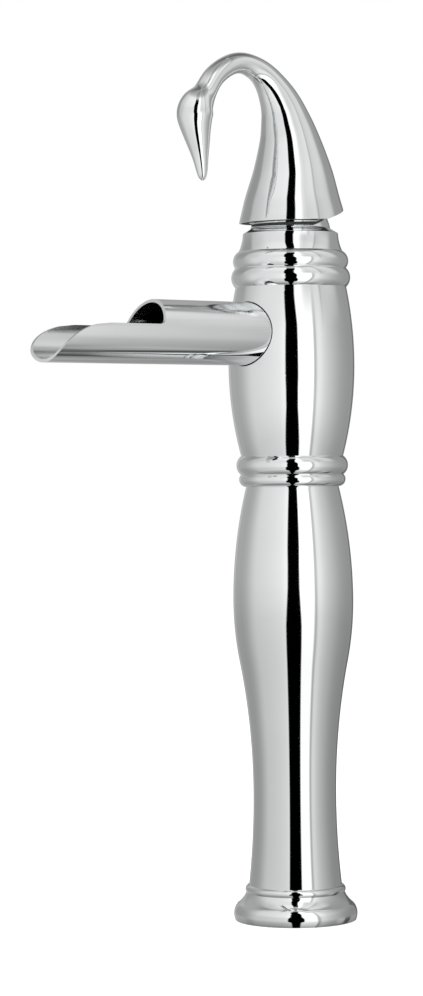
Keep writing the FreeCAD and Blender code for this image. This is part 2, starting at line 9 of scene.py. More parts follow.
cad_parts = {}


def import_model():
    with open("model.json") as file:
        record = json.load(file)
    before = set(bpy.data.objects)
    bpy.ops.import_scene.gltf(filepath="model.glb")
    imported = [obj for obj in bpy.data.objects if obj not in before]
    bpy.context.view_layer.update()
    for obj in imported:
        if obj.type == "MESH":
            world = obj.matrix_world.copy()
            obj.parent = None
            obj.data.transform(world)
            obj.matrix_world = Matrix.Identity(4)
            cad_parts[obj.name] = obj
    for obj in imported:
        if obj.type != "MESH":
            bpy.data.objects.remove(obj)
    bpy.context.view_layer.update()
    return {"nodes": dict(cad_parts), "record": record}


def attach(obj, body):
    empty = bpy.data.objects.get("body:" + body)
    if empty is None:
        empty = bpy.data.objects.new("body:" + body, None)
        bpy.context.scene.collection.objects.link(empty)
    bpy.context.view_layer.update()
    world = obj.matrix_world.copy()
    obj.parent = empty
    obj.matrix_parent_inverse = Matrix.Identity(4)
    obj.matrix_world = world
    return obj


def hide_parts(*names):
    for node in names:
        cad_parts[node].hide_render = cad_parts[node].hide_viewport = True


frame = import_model()
nodes = frame["nodes"]

# Lengths are in millimetres, as in the part's source, unless a comment says metres; meshes are in metres.
MM = 0.001
SAME_POINT = 1e-6

# Mesh fineness: steps, and the widths of rounded edges
TURN_STEPS = 192
DISC_STEPS = 96
ARC_STEPS = 14
LONG_ARC_STEPS = 44
SHARP_ANGLE = math.radians(32)
ROUND_SEGMENTS = 3
EDGE_ROUND = 0.22
HOLE_ROUND = 0.35
SKIRT_ROUND = 0.45
POINT_RADIUS = 0.01

# Window in the turned body round the spout's hole
WINDOW_COLUMNS = 24
WINDOW_MARGIN = 4.5
WINDOW_RINGS = 14
WINDOW_CROWDING = 1.5
HOLE_WALL = 4.0

# Steps of the spout's mesh, and how far over the trough's edge counts as above it
SPOUT_NEAR_STEPS = 40
SPOUT_FAR_STEPS = 40
TROUGH_STEPS = 64
HOOD_STEPS = 48
EDGE_SLACK = 1e-9
JUST_ABOVE = 1e-6

# Steps of the swan's mesh; the skirt's own steps end at a station
SKIRT_STATION = 4
SKIRT_STEPS = 65
SWAN_STEPS = 195
SWAN_TURN_STEPS = 144
TRIM_SAMPLES = 400
TANGENT_STEP = 0.01
LIP_ROUNDS = 6
HOLLOW_RINGS = 12
HOLLOW_TOP = math.radians(88)
PLUG_STATION = 8
PLUG_SAMPLES = 600
PLUG_RINGS = 14

# Satin finish in the trough, and outside on the spout's upper half near its root; depth in metres
SATIN_STRETCH = (1.0, 0.04, 1.0)
SATIN_SCALE = 420.0
SATIN_ROUGHNESS = 0.2
SATIN_STRENGTH = 0.5
SATIN_DEPTH = 0.0001
SATIN_FADE = 10.0
ROOT_SATIN = 0.8
ROOT_FADE = 45.0

# Grain of the materials; depths in metres
GRAIN_DETAIL = 3.0
GRAIN_STOPS = (0.3, 0.7)
GRAIN_STRENGTH = 0.4
COARSE_GRAIN = 0.0001
FINE_GRAIN = 0.00005

# Photograph: image size in pixels, rows and columns of known places, and the scale at the column's axis
IMAGE_WIDTH = 423
IMAGE_HEIGHT = 996
SENSOR_LENGTH = 36.0
CAMERA_AZIMUTH = math.radians(50)
CAMERA_DISTANCE = 1240.0
MM_PER_PIXEL = 0.4126
DECK_ROW = 920.3
EYE_ROW = 450.0
AXIS_COLUMN = 292.5
CAMERA_ROLL = 0.00844

# Floor, room light and lamp; lengths in metres
FLOOR_SIZE = 8.0
FLOOR_HEIGHT = -0.0002
FLOOR_GREY = 0.8
FLOOR_ROUGHNESS = 0.9
FLOOR_GLOW = 0.68
ROOM_LIGHT = 0.45
KEY_SIZE = 1.2
KEY_ENERGY = 14
KEY_PLACE = (0.2, -0.5, 1.5)
KEY_TARGET = (0.0, 0.0, 0.1)

# Tent round the faucet, that only reflections show; radius and middle height in metres
TENT_RADIUS = 0.32
TENT_MIDDLE = 0.18
TENT_RINGS = 60
TENT_STEPS = 96
TENT_POLE = 89
# Brightness of the lower and the upper walls, by degrees to the right of the photograph's camera
TENT_WALLS = [
    (-180, 0.36), (-135, 0.375), (-118, 0.365), (-108, 0.395), (-101, 0.43), (-95, 0.485), (-89, 0.54),
    (-84, 0.595), (-76, 0.655), (-57, 0.7), (-39, 0.75), (-23, 0.81), (-15, 0.9), (4, 0.95), (10, 1.25),
    (37, 1.25), (39, 0.62), (40, 0.5), (42, 0.5), (43.5, 0.66), (46, 0.82), (51, 0.8), (59, 0.67),
    (68, 0.57), (78, 0.49), (89, 0.41), (100, 0.35), (113, 0.315), (130, 0.29), (154, 0.3), (180, 0.34),
]
UPPER_WALLS = [
    (-180, 0.34), (-147, 0.31), (-125, 0.285), (-110, 0.3), (-105, 0.45), (-99, 0.5), (-88, 0.54),
    (-79, 0.575), (-61, 0.7), (-45, 0.73), (-30, 0.745), (-15, 0.78), (4, 0.9), (10, 1.1), (18, 1.0),
    (24, 0.72), (32, 0.63), (45, 0.68), (54, 0.7), (56.5, 0.6), (58, 0.42), (60, 0.42), (62, 0.55),
    (75, 0.61), (88, 0.62), (96, 0.58), (102, 0.45), (107, 0.32), (125, 0.3), (150, 0.3), (180, 0.34),
]
# Faint pale panel and soft dark slit behind, in parts of REAR_UNIT
REAR_WALLS = [
    (-180, 0.5), (-166, 0.5), (-163, 0.63), (-150, 0.63), (-145, 0.5), (140, 0.5), (147, 0.47), (151, 0.23),
    (160, 0.23), (164, 0.5), (180, 0.5),
]
REAR_UNIT = 2.0
# By height in the tent, from -1 at its bottom to 1 at its top: share of the upper walls, and level of light
UPPER_SHARES = [(-1.0, 0.0), (0.35, 0.0), (0.6, 1.0), (1.0, 1.0)]
LEVELS = [
    (-1.0, 0.25), (-0.92, 0.3), (-0.84, 0.46), (-0.73, 0.57), (-0.66, 0.73), (-0.58, 0.8), (-0.45, 0.81),
    (-0.3, 0.84), (-0.2, 0.92), (-0.1, 0.98), (0.0, 1.0), (0.7, 1.0), (0.76, 1.08), (0.9, 1.14),
    (0.925, 1.1), (0.95, 0.7), (0.98, 0.5), (1.0, 0.46),
]
LEVEL_UNIT = 1.1
# Dark slit at the camera, by height: degrees to its right, half width in degrees, and light that it keeps
SLIT_MIDDLES = [(-1.0, -0.9), (0.4, -0.9), (0.55, -5.0), (0.76, -5.0), (0.86, -1.5), (1.0, -0.9)]
SLIT_WIDTHS = [
    (-1.0, 7.0), (-0.82, 7.0), (-0.72, 7.5), (-0.67, 12.5), (-0.64, 14.0), (-0.35, 13.6), (-0.2, 11.4),
    (-0.12, 10.0), (0.0, 9.8), (0.1, 10.4), (0.3, 10.0), (0.6, 8.6), (0.85, 9.5), (0.92, 9.5), (0.96, 16.0),
    (1.0, 16.0),
]
SLIT_FLOORS = [(-1.0, 0.0), (0.885, 0.0), (0.93, 0.62), (1.0, 0.62)]
# Degrees over which the slit's edges fade
SLIT_SOFTNESS = 2.0
# Change of light low down, by height, and the walls that take it: 1 adds it, 0.5 leaves it, 0 takes it off
LOW_LIFT = [
    (-1.0, 0.1), (-0.86, 0.1), (-0.83, 0.6), (-0.79, 0.7), (-0.71, 0.62), (-0.6, 0.05), (-0.5, 0.0),
    (1.0, 0.0),
]
LIFTED_WALLS = [
    (-180, 1.0), (-115, 1.0), (-95, 0.5), (75, 0.5), (86, 1.0), (97, 1.0), (101, 0.08), (115, 0.08),
    (119, 1.0), (180, 1.0),
]

# Base flange
foot_contact_radius = 25.0
rim_radius = 25.5
rim_mid_height = 3.2
rim_top_radius = 24.1
rim_height = 6.6
cove_top_radius = 20.3
cove_height = 4.8
cove_sag = 0.3
foot_bead_radius = 20.7
foot_bead_height = 3.1
flange_bore_radius = 17.35
gasket_inner_radius = 20.0
gasket_outer_radius = 23.0
gasket_thickness = 1.2

# Lower column
column_foot_radius = 19.2
column_waist_radius = 17.1
column_bulge_radius = 24.75
column_neck_radius = 19.1
column_foot_rise = 37.7
column_waist_to_bulge = 79.5
column_bulge_to_neck = 47.0
bulge_arc_radius = 130.0
column_bead_radius = 21.9
column_bead_height = 5.0
column_wall = 2.4
joint_face_radius = 21.2
joint_bore_radius = 16.05

# Upper body
body_bead_radius = 23.0
body_bead_height = 7.7
barrel_foot_radius = 21.05
barrel_radius = 25.95
barrel_top_radius = 22.85
barrel_lower_height = 37.8
barrel_upper_height = 31.5
lower_ring_radius = 24.5
lower_ring_height = 7.9
ring_groove_radius = 22.8
upper_ring_radius = 23.7
upper_ring_height = 6.8
body_top_radius = 21.6
body_mouth_radius = 19.1

# Spout
spout_radius = 12.9
spout_wall = 1.3
spout_axis_drop = 34.2
spout_reach = 127.5
spout_root = 10.0
trough_edge_rise = 2.5
hood_reach = 77.1
hood_slant = math.radians(20)
hood_corner_radius = 3.0
lip_length = 24.0
spout_gap = 0.3
outlet_radius = 2.4
outlet_depth = 4.0

# Bonnet
bonnet_flare_height = 7.4
bonnet_flare_radius = 21.4
bonnet_flare_sag = 0.4
bonnet_radius = 19.6
bonnet_shoulder_height = 2.0
bonnet_neck_radius = 16.4
bonnet_neck_bore = 13.4
bonnet_spigot_bore = 16.25

# Swan handle
skirt_gap = 2.8
skirt_bevel_start = 0.8
skirt_bevel = math.radians(16.5)
skirt_rake = math.radians(1.5)
# Underside of the skirt: a polished rim, then a dark ring of painted shade for the gap, then the lip
skirt_rim = 0.8
skirt_lip = 0.9
lip_gap = 0.2
pivot_height = 282.2
screw_rise = 19.5
plug_radius = 3.2
plug_crown = 0.35
plug_sink = 0.21

# Swan stations from the skirt over the neck to the bill: forward reach, height over the skirt's edge, radius
swan_stations = [
    (-1.2, -2.6, 22.4),
    (-1.3, 2.4, 21.45),
    (-1.3, 7.4, 20.25),
    (-1.4, 12.4, 18.85),
    (-1.4, 18.4, 17.15),
    (-1.0, 24.4, 15.35),
    (-0.3, 30.4, 13.55),
    (0.8, 36.4, 11.75),
    (2.2, 41.4, 10.35),
    (4.0, 46.4, 8.95),
    (6.6, 51.1, 7.7),
    (10.3, 55.9, 6.35),
    (14.8, 59.9, 5.3),
    (20.3, 62.5, 4.6),
    (26.2, 63.5, 4.25),
    (31.9, 62.3, 4.2),
    (37.0, 59.6, 4.3),
    (41.2, 56.1, 4.4),
    (44.0, 52.3, 4.55),
    (45.9, 49.5, 5.0),
    (47.6, 47.4, 5.9),
    (49.4, 45.0, 6.85),
    (50.6, 41.4, 7.35),
    (50.4, 37.4, 6.65),
    (49.7, 33.4, 5.6),
    (48.9, 29.4, 4.6),
    (48.2, 25.6, 3.65),
    (47.6, 21.8, 2.85),
    (47.2, 18.7, 2.3),
    (47.0, 16.6, 1.75),
    (46.9, 15.5, 1.2),
    (46.9, 14.9, 0.6),
]

# Levels worked out from the sizes above
z_cove_top = rim_height + cove_height
z_flange_top = z_cove_top + foot_bead_height
z_waist = z_flange_top + column_foot_rise
z_bulge = z_waist + column_waist_to_bulge
z_neck = z_bulge + column_bulge_to_neck
z_joint = z_neck + column_bead_height
z_barrel_foot = z_joint + body_bead_height
z_barrel = z_barrel_foot + barrel_lower_height
z_barrel_top = z_barrel + barrel_upper_height
z_ring_groove = z_barrel_top + lower_ring_height
z_body_top = z_ring_groove + upper_ring_height
z_bonnet_edge = z_body_top + bonnet_flare_height
z_shoulder = z_bonnet_edge + bonnet_shoulder_height
z_skirt = z_shoulder + skirt_gap
z_spout = z_body_top - spout_axis_drop
z_screw = pivot_height + screw_rise
dome_radius = math.hypot(bonnet_neck_radius, z_shoulder - pivot_height)
skirt_cavity_radius = dome_radius + lip_gap


# Curves in the profile plane, as lists of (radius, height)

def arc(start, through, end):
    # Round arc from one point to another through a third.
    ax, ay = start
    bx, by = through
    cx, cy = end
    twice = 2 * (ax * (by - cy) + bx * (cy - ay) + cx * (ay - by))
    a2, b2, c2 = ax * ax + ay * ay, bx * bx + by * by, cx * cx + cy * cy
    ux = (a2 * (by - cy) + b2 * (cy - ay) + c2 * (ay - by)) / twice
    uy = (a2 * (cx - bx) + b2 * (ax - cx) + c2 * (bx - ax)) / twice
    radius = math.hypot(ax - ux, ay - uy)
    first = math.atan2(ay - uy, ax - ux)
    middle = (math.atan2(by - uy, bx - ux) - first) % math.tau
    last = (math.atan2(cy - uy, cx - ux) - first) % math.tau
    sweep = last if middle < last else last - math.tau
    angles = [first + sweep * i / ARC_STEPS for i in range(ARC_STEPS + 1)]
    return [(ux + radius * math.cos(a), uy + radius * math.sin(a)) for a in angles]


def bead(r_low, z_low, r_mid, r_high, z_high):
    # Arc that reaches its middle radius halfway up.
    return arc((r_low, z_low), (r_mid, (z_low + z_high) / 2), (r_high, z_high))


def crown(r_end, z_end, r_top, z_top):
    # Arc from its end to where it is vertical.
    rise = z_top - z_end
    step = r_top - r_end
    radius = (rise ** 2 + step ** 2) / (2 * abs(step))
    full = math.asin(abs(rise) / radius)
    points = []
    for i in range(LONG_ARC_STEPS + 1):
        a = full * (1 - i / LONG_ARC_STEPS)
        away = math.copysign(radius * (1 - math.cos(a)), step)
        points.append((r_top - away, z_top - math.copysign(radius * math.sin(a), rise)))
    return points


def joined(*runs):
    # Runs of points one after the other, with no point twice in a row.
    points = []
    for run in runs:
        for p in run:
            if not points or math.dist(points[-1], p) > SAME_POINT:
                points.append(p)
    return points


# Mesh helpers

def placed(name, data):
    # New object in the scene.
    made = bpy.data.objects.new(name, data)
    bpy.context.scene.collection.objects.link(made)
    return made


def write_mesh(made, mesh):
    # Turns all faces outward and writes them to the mesh.
    bmesh.ops.recalc_face_normals(made, faces=made.faces)
    made.to_mesh(mesh)
    made.free()
    return mesh


def finish_mesh(name, mesh, body, replaced, round_edges=EDGE_ROUND):
    # Piece with smooth faces, rounded edges where asked for, a body and the nodes that it replaces.
    mesh.validate()
    for polygon in mesh.polygons:
        polygon.use_smooth = True
    mesh.set_sharp_from_angle(angle=SHARP_ANGLE)
    piece = placed(name, mesh)
    if round_edges:
        bevel = piece.modifiers.new("edge_round", "BEVEL")
        bevel.width = round_edges * MM
        bevel.segments = ROUND_SEGMENTS
        bevel.limit_method = "ANGLE"
        bevel.angle_limit = SHARP_ANGLE
        bevel.harden_normals = True
    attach(piece, body)
    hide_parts(*replaced)
    return piece


def circle(steps):
    # Cosine and sine of equal steps round a circle.
    angles = [math.tau * i / steps for i in range(steps)]
    return [(math.cos(a), math.sin(a)) for a in angles]


def grid_mesh(name, rings, closed=False):
    # Quads between rings with as many points each; a closed one also joins the last ring to the first.
    made = bmesh.new()
    grid = [[made.verts.new(p) for p in ring] for ring in rings]
    width = len(grid[0])
    for i in range(len(grid) if closed else len(grid) - 1):
        low, high = grid[i], grid[(i + 1) % len(grid)]
        for j in range(width):
            k = (j + 1) % width
            made.faces.new((low[j], low[k], high[k], high[j]))
    return write_mesh(made, bpy.data.meshes.new(name))


def turned(name, profile):
    # Surface of revolution about the column's axis.
    steps = circle(TURN_STEPS)
    rings = [[(radius * c * MM, radius * s * MM, z * MM) for c, s in steps] for radius, z in profile]
    return grid_mesh(name, rings, closed=True)


# Turned pieces

def base_flange():
    cove_mid = ((rim_top_radius + cove_top_radius) / 2 - cove_sag, rim_height + cove_height / 2 - cove_sag)
    profile = joined(
        [(flange_bore_radius, z_flange_top), (flange_bore_radius, 0), (gasket_inner_radius, 0)],
        [(gasket_inner_radius, gasket_thickness), (gasket_outer_radius, gasket_thickness)],
        [(gasket_outer_radius, 0)],
        arc((foot_contact_radius, 0), (rim_radius, rim_mid_height), (rim_top_radius, rim_height)),
        arc((rim_top_radius, rim_height), cove_mid, (cove_top_radius, z_cove_top)),
        bead(cove_top_radius, z_cove_top, foot_bead_radius, column_foot_radius, z_flange_top),
    )
    mesh = turned("base_flange_shell", profile)
    return finish_mesh("base_flange_shell", mesh, "faucet_body", ["base_flange"], 0.0)


def column_outline():
    # The arcs of the waist and the bulge meet in a bend, and their two radii add up to one length.
    rise = z_bulge - z_waist
    step = column_bulge_radius - column_waist_radius
    both = (rise ** 2 + step ** 2) / (2 * step)
    share = 1 - bulge_arc_radius / both
    bend = (column_waist_radius + step * share, z_waist + rise * share)
    return joined(
        crown(column_foot_radius, z_flange_top, column_waist_radius, z_waist),
        reversed(crown(*bend, column_waist_radius, z_waist)),
        crown(*bend, column_bulge_radius, z_bulge),
        reversed(crown(column_neck_radius, z_neck, column_bulge_radius, z_bulge)),
        bead(column_neck_radius, z_neck, column_bead_radius, joint_face_radius, z_joint),
    )


def lower_column():
    inner = [(joint_bore_radius, z_joint), (column_waist_radius - column_wall, z_waist)]
    foot = [(column_waist_radius - column_wall, z_flange_top)]
    mesh = turned("lower_column_shell", joined(column_outline(), inner, foot))
    return finish_mesh("lower_column_shell", mesh, "faucet_body", ["lower_column"], 0.0)


def body_outline():
    return joined(
        bead(joint_face_radius, z_joint, body_bead_radius, barrel_foot_radius, z_barrel_foot),
        crown(barrel_foot_radius, z_barrel_foot, barrel_radius, z_barrel),
        reversed(crown(barrel_top_radius, z_barrel_top, barrel_radius, z_barrel)),
        bead(barrel_top_radius, z_barrel_top, lower_ring_radius, ring_groove_radius, z_ring_groove),
        bead(ring_groove_radius, z_ring_groove, upper_ring_radius, body_top_radius, z_body_top),
    )


def barrel_reach(z):
    # The barrel's radius at a height: one arc below its widest place and one above.
    low = z < z_barrel
    rise = barrel_lower_height if low else barrel_upper_height
    step = barrel_radius - (barrel_foot_radius if low else barrel_top_radius)
    radius = (rise ** 2 + step ** 2) / (2 * step)
    return barrel_radius - radius + math.sqrt(radius ** 2 - (z - z_barrel) ** 2)


def barrel_point(x, z):
    # Point on the barrel's front, in metres.
    return Vector((x, -math.sqrt(barrel_reach(z) ** 2 - x ** 2), z)) * MM


def open_spout_hole(made, outline):
    # Opens a window of the turned grid in front, and fills it with rings that close in on the spout's hole.
    made.verts.ensure_lookup_table()
    hole_radius = spout_radius + spout_gap
    frontal = 3 * TURN_STEPS // 4
    half = WINDOW_COLUMNS
    fits = [i for i, (r, z) in enumerate(outline) if abs(z - z_spout) < hole_radius + WINDOW_MARGIN]
    low, high = fits[0], fits[-1]

    def corner(row, column):
        return made.verts[row * TURN_STEPS + (frontal + column) % TURN_STEPS]

    loop = [corner(low, c) for c in range(-half, half)]
    loop += [corner(r, half) for r in range(low, high)]
    loop += [corner(high, c) for c in range(half, -half, -1)]
    loop += [corner(r, -half) for r in range(high, low, -1)]
    inside = [corner(r, c) for r in range(low + 1, high) for c in range(1 - half, half)]
    rings = [loop]
    for step in range(1, WINDOW_RINGS + 1):
        share = 1 - (1 - step / WINDOW_RINGS) ** WINDOW_CROWDING
        ring = []
        for vertex in loop:
            x, z = vertex.co.x / MM, vertex.co.z / MM - z_spout
            scale = 1 - share + share * hole_radius / math.hypot(x, z)
            ring.append(made.verts.new(barrel_point(x * scale, z_spout + z * scale)))
        rings.append(ring)
    rings.append([made.verts.new(v.co + Vector((0, HOLE_WALL * MM, 0))) for v in rings[-1]])
    bmesh.ops.delete(made, geom=inside, context="VERTS")
    for one, two in zip(rings, rings[1:]):
        for j in range(len(one)):
            k = (j + 1) % len(one)
            made.faces.new((one[j], one[k], two[k], two[j]))


def upper_body():
    inner = [(body_mouth_radius, z_body_top), (body_mouth_radius, z_barrel), (joint_bore_radius, z_joint)]
    outline = body_outline()
    mesh = turned("upper_body_shell", joined(outline, inner))
    made = bmesh.new()
    made.from_mesh(mesh)
    open_spout_hole(made, outline)
    write_mesh(made, mesh)
    return finish_mesh("upper_body_shell", mesh, "faucet_body", ["upper_body"], HOLE_ROUND)


def outlet_wall():
    # End of the tube inside the body, with the hole that the water comes out of.
    outline = [
        (spout_radius, 0), (outlet_radius, 0), (outlet_radius, outlet_depth), (POINT_RADIUS, outlet_depth),
    ]
    steps = circle(DISC_STEPS)
    back = -spout_root * MM
    rings = []
    for radius, depth in outline:
        rings.append([(radius * c * MM, back + depth * MM, (z_spout + radius * s) * MM) for c, s in steps])
    mesh = grid_mesh("outlet_wall", rings)
    return finish_mesh("outlet_wall", mesh, "faucet_body", ["upper_body"], 0.0)


def dome_height(radius):
    # Height of the bonnet's dome, which is a ball about the lever's pivot.
    return pivot_height + math.sqrt(dome_radius ** 2 - radius ** 2)


def bonnet():
    flare_mid = ((bonnet_flare_radius + bonnet_radius) / 2 - bonnet_flare_sag,
                 z_body_top + bonnet_flare_height / 2)
    dome_mid = (bonnet_neck_radius + bonnet_neck_bore) / 2
    profile = joined(
        arc((bonnet_flare_radius, z_body_top), flare_mid, (bonnet_radius, z_bonnet_edge)),
        arc((bonnet_neck_radius, z_shoulder), (dome_mid, dome_height(dome_mid)),
            (bonnet_neck_bore, dome_height(bonnet_neck_bore))),
        [(bonnet_neck_bore, z_shoulder), (bonnet_spigot_bore, z_bonnet_edge)],
        [(bonnet_spigot_bore, z_body_top)],
    )
    return finish_mesh("bonnet_shell", turned("bonnet_shell", profile), "faucet_body", ["bonnet"])


# Spout

def spout_end(z):
    # How far forward the tube reaches at height z: to the lip below the trough's edge, to the hood above it.
    edge = z_spout + trough_edge_rise
    bottom = z_spout - spout_radius
    if z <= edge + EDGE_SLACK:
        share = min(1.0, (z - bottom) / (edge - bottom))
        return spout_reach - lip_length + lip_length * math.sqrt(max(0.0, 1 - share ** 2))
    corner = math.pi / 2 + hood_slant
    trim = hood_corner_radius / math.tan(corner / 2)
    rise = z - edge
    if rise >= trim * math.cos(hood_slant):
        return hood_reach - rise * math.tan(hood_slant)
    centre = hood_reach + trim
    return centre - math.sqrt(hood_corner_radius ** 2 - (hood_corner_radius - rise) ** 2)


def spout_row(radius, angle, lower):
    # One straight line of the tube, from its root to its cut end. The angle is from the bottom.
    z = z_spout - radius * math.cos(angle)
    x = radius * math.sin(angle)
    edge = z_spout + trough_edge_rise
    knee = min(spout_end(max(z, edge + JUST_ABOVE)), spout_end(edge + JUST_ABOVE))
    near = knee - spout_root
    reach = [spout_root + near * i / SPOUT_NEAR_STEPS for i in range(SPOUT_NEAR_STEPS + 1)]
    if lower:
        far = spout_end(min(z, edge)) - knee
        reach += [knee + far * i / SPOUT_FAR_STEPS for i in range(1, SPOUT_FAR_STEPS + 1)]
    return [(x * MM, -y * MM, z * MM) for y in reach]


def spout_satin(place, outside):
    # Share of satin finish at a point of the tube.
    reach = -place.y / MM
    if outside:
        share = (1 - (reach - barrel_radius) / ROOT_FADE) * (place.z / MM > z_spout) * ROOT_SATIN
    else:
        share = (reach - hood_reach) / SATIN_FADE + 1
    return min(max(share, 0.0), 1.0)


def spout_skin(made, satin, radius):
    # Trough and hood of the tube's outer or inner skin, as rows of points. They share the trough's two edges.
    def row(angle, lower):
        return [made.verts.new(p) for p in spout_row(radius, angle, lower)]

    edge_angle = math.pi - math.acos(trough_edge_rise / radius)
    low_angles = [edge_angle * (2 * i / TROUGH_STEPS - 1) for i in range(TROUGH_STEPS + 1)]
    high_span = math.tau - 2 * edge_angle
    high_angles = [edge_angle + high_span * i / HOOD_STEPS for i in range(1, HOOD_STEPS)]
    lower = [row(a, True) for a in low_angles]
    upper = [lower[-1][:SPOUT_NEAR_STEPS + 1]]
    upper += [row(a, False) for a in high_angles]
    upper.append(lower[0][:SPOUT_NEAR_STEPS + 1])
    for sheet in (lower, upper):
        for one, two in zip(sheet, sheet[1:]):
            for j in range(len(one) - 1):
                made.faces.new((one[j], one[j + 1], two[j + 1], two[j]))
        for vertex in sum(sheet, []):
            vertex[satin] = spout_satin(vertex.co, radius == spout_radius)
    return lower, upper


def spout_tube():
    made = bmesh.new()
    satin = made.verts.layers.float.new("satin")
    outer = spout_skin(made, satin, spout_radius)
    inner = spout_skin(made, satin, spout_radius - spout_wall)
    # Close the wall at both ends, then along the trough's two edges.
    for one, two in zip(outer, inner):
        for i in range(len(one) - 1):
            made.faces.new((one[i][-1], two[i][-1], two[i + 1][-1], one[i + 1][-1]))
            made.faces.new((one[i][0], one[i + 1][0], two[i + 1][0], two[i][0]))
    for side in (0, -1):
        one, two = outer[0][side], inner[0][side]
        for j in range(SPOUT_NEAR_STEPS, SPOUT_NEAR_STEPS + SPOUT_FAR_STEPS):
            made.faces.new((one[j], one[j + 1], two[j + 1], two[j]))
    mesh = write_mesh(made, bpy.data.meshes.new("spout_shell"))
    return finish_mesh("spout_shell", mesh, "faucet_body", ["spout_tube"])


# Swan handle

def smooth_through(knots, values, at):
    # Natural cubic spline through the values.
    knots = np.asarray(knots, float)
    values = np.asarray(values, float)
    count = len(knots)
    gaps = np.diff(knots)
    matrix = np.eye(count)
    right = np.zeros(count)
    for i in range(1, count - 1):
        matrix[i, i - 1:i + 2] = (gaps[i - 1], 2 * (gaps[i - 1] + gaps[i]), gaps[i])
        right[i] = 6 * ((values[i + 1] - values[i]) / gaps[i] - (values[i] - values[i - 1]) / gaps[i - 1])
    bend = np.linalg.solve(matrix, right)
    at = np.asarray(at, float)
    k = np.clip(np.searchsorted(knots, at) - 1, 0, count - 2)
    h = gaps[k]
    a = (knots[k + 1] - at) / h
    b = (at - knots[k]) / h
    curve = a * values[k] + b * values[k + 1]
    return curve + ((a ** 3 - a) * bend[k] + (b ** 3 - b) * bend[k + 1]) * h * h / 6


def station_lengths(stations):
    # Length from the first station to each one, in straight steps.
    lengths = [0.0]
    for one, two in zip(stations, stations[1:]):
        lengths.append(lengths[-1] + math.dist(one[:2], two[:2]))
    return lengths


def swan_surface(lengths, at, angle):
    # Points of the swan's skin at lengths along its line, at one angle round it.
    forward, rise, radius = (smooth_through(lengths, [s[i] for s in swan_stations], at) for i in range(3))
    ahead_y = smooth_through(lengths, [s[0] for s in swan_stations], at + TANGENT_STEP) - forward
    ahead_z = smooth_through(lengths, [s[1] for s in swan_stations], at + TANGENT_STEP) - rise
    tilt = np.arctan2(ahead_y, ahead_z)
    back = radius * math.cos(angle)
    return radius * math.sin(angle), -forward + back * np.cos(tilt), z_skirt + rise + back * np.sin(tilt)


def skirt_edge(y):
    # Height of the skirt's underside: the raked plane in front, the bevel behind.
    raked = z_skirt + math.tan(skirt_rake) * y
    beveled = z_skirt + math.tan(skirt_bevel) * (y - skirt_bevel_start)
    return np.maximum(raked, beveled)


def inset(point):
    # The point that lies one rim's width further in on the skirt's underside.
    x, y = point[0] / MM, point[1] / MM
    keep = 1 - skirt_rim / math.hypot(x, y)
    return (x * keep * MM, y * keep * MM, float(skirt_edge(y * keep)) * MM)


def swan_handle():
    # Skin from the trimmed skirt to the bill, and the inner row of the skirt's rim.
    lengths = station_lengths(swan_stations)
    trim_length = lengths[SKIRT_STATION]
    samples = np.linspace(0, trim_length, TRIM_SAMPLES)
    high = np.linspace(trim_length, lengths[-1], SWAN_STEPS)
    columns = []
    for j in range(SWAN_TURN_STEPS):
        angle = math.tau * j / SWAN_TURN_STEPS
        x, y, z = swan_surface(lengths, samples, angle)
        over = z - skirt_edge(y)
        first = int(np.argmax(over >= 0))
        start = np.interp(0, over[first - 1:first + 1], samples[first - 1:first + 1])
        low = np.linspace(start, trim_length, SKIRT_STEPS, endpoint=False)
        x, y, z = swan_surface(lengths, np.concatenate([low, high]), angle)
        columns.append([(a * MM, b * MM, c * MM) for a, b, c in zip(x, y, z)])
    rings = [list(ring) for ring in zip(*columns)]
    rim = [inset(point) for point in rings[0]]
    mesh = grid_mesh("swan_body_shell", [rim] + rings)
    skin = finish_mesh("swan_body_shell", mesh, "lever", ["swan_handle"], SKIRT_ROUND)
    return skin, rim


def swan_hollow(rim):
    # Dark ring set in the skirt's underside, which is painted shade of the gap above the bonnet, then the
    # polished lip and the ball about the pivot.
    lip, mouth = [], []
    for px, py, pz in rim:
        x, y = px / MM, py / MM
        reach = math.hypot(x, y)
        radius = skirt_cavity_radius
        for _ in range(LIP_ROUNDS):
            z = float(skirt_edge(y / reach * radius))
            radius = math.sqrt(skirt_cavity_radius ** 2 - (z - pivot_height) ** 2)
        mouth.append((x / reach, y / reach, math.atan2(z - pivot_height, radius)))
        lip_x, lip_y = x / reach * (radius + skirt_lip), y / reach * (radius + skirt_lip)
        lip.append((lip_x * MM, lip_y * MM, float(skirt_edge(lip_y)) * MM))
    rings = [lip]
    for i in range(HOLLOW_RINGS):
        share = i / (HOLLOW_RINGS - 1)
        ring = []
        for ux, uy, low in mouth:
            tilt = low + (HOLLOW_TOP - low) * share
            r = skirt_cavity_radius * math.cos(tilt)
            z = pivot_height + skirt_cavity_radius * math.sin(tilt)
            ring.append((ux * r * MM, uy * r * MM, z * MM))
        rings.append(ring)
    # Dark ring between the rim and the lip: painted shade of the gap under the skirt
    painted_shade_mesh = grid_mesh("skirt_painted_shade", [rim, lip])
    painted_shade_ring = finish_mesh("skirt_painted_shade", painted_shade_mesh, "lever", ["swan_handle"], 0.0)
    hollow = finish_mesh("swan_hollow", grid_mesh("swan_hollow", rings), "lever", ["swan_handle"], 0.0)
    return painted_shade_ring, hollow


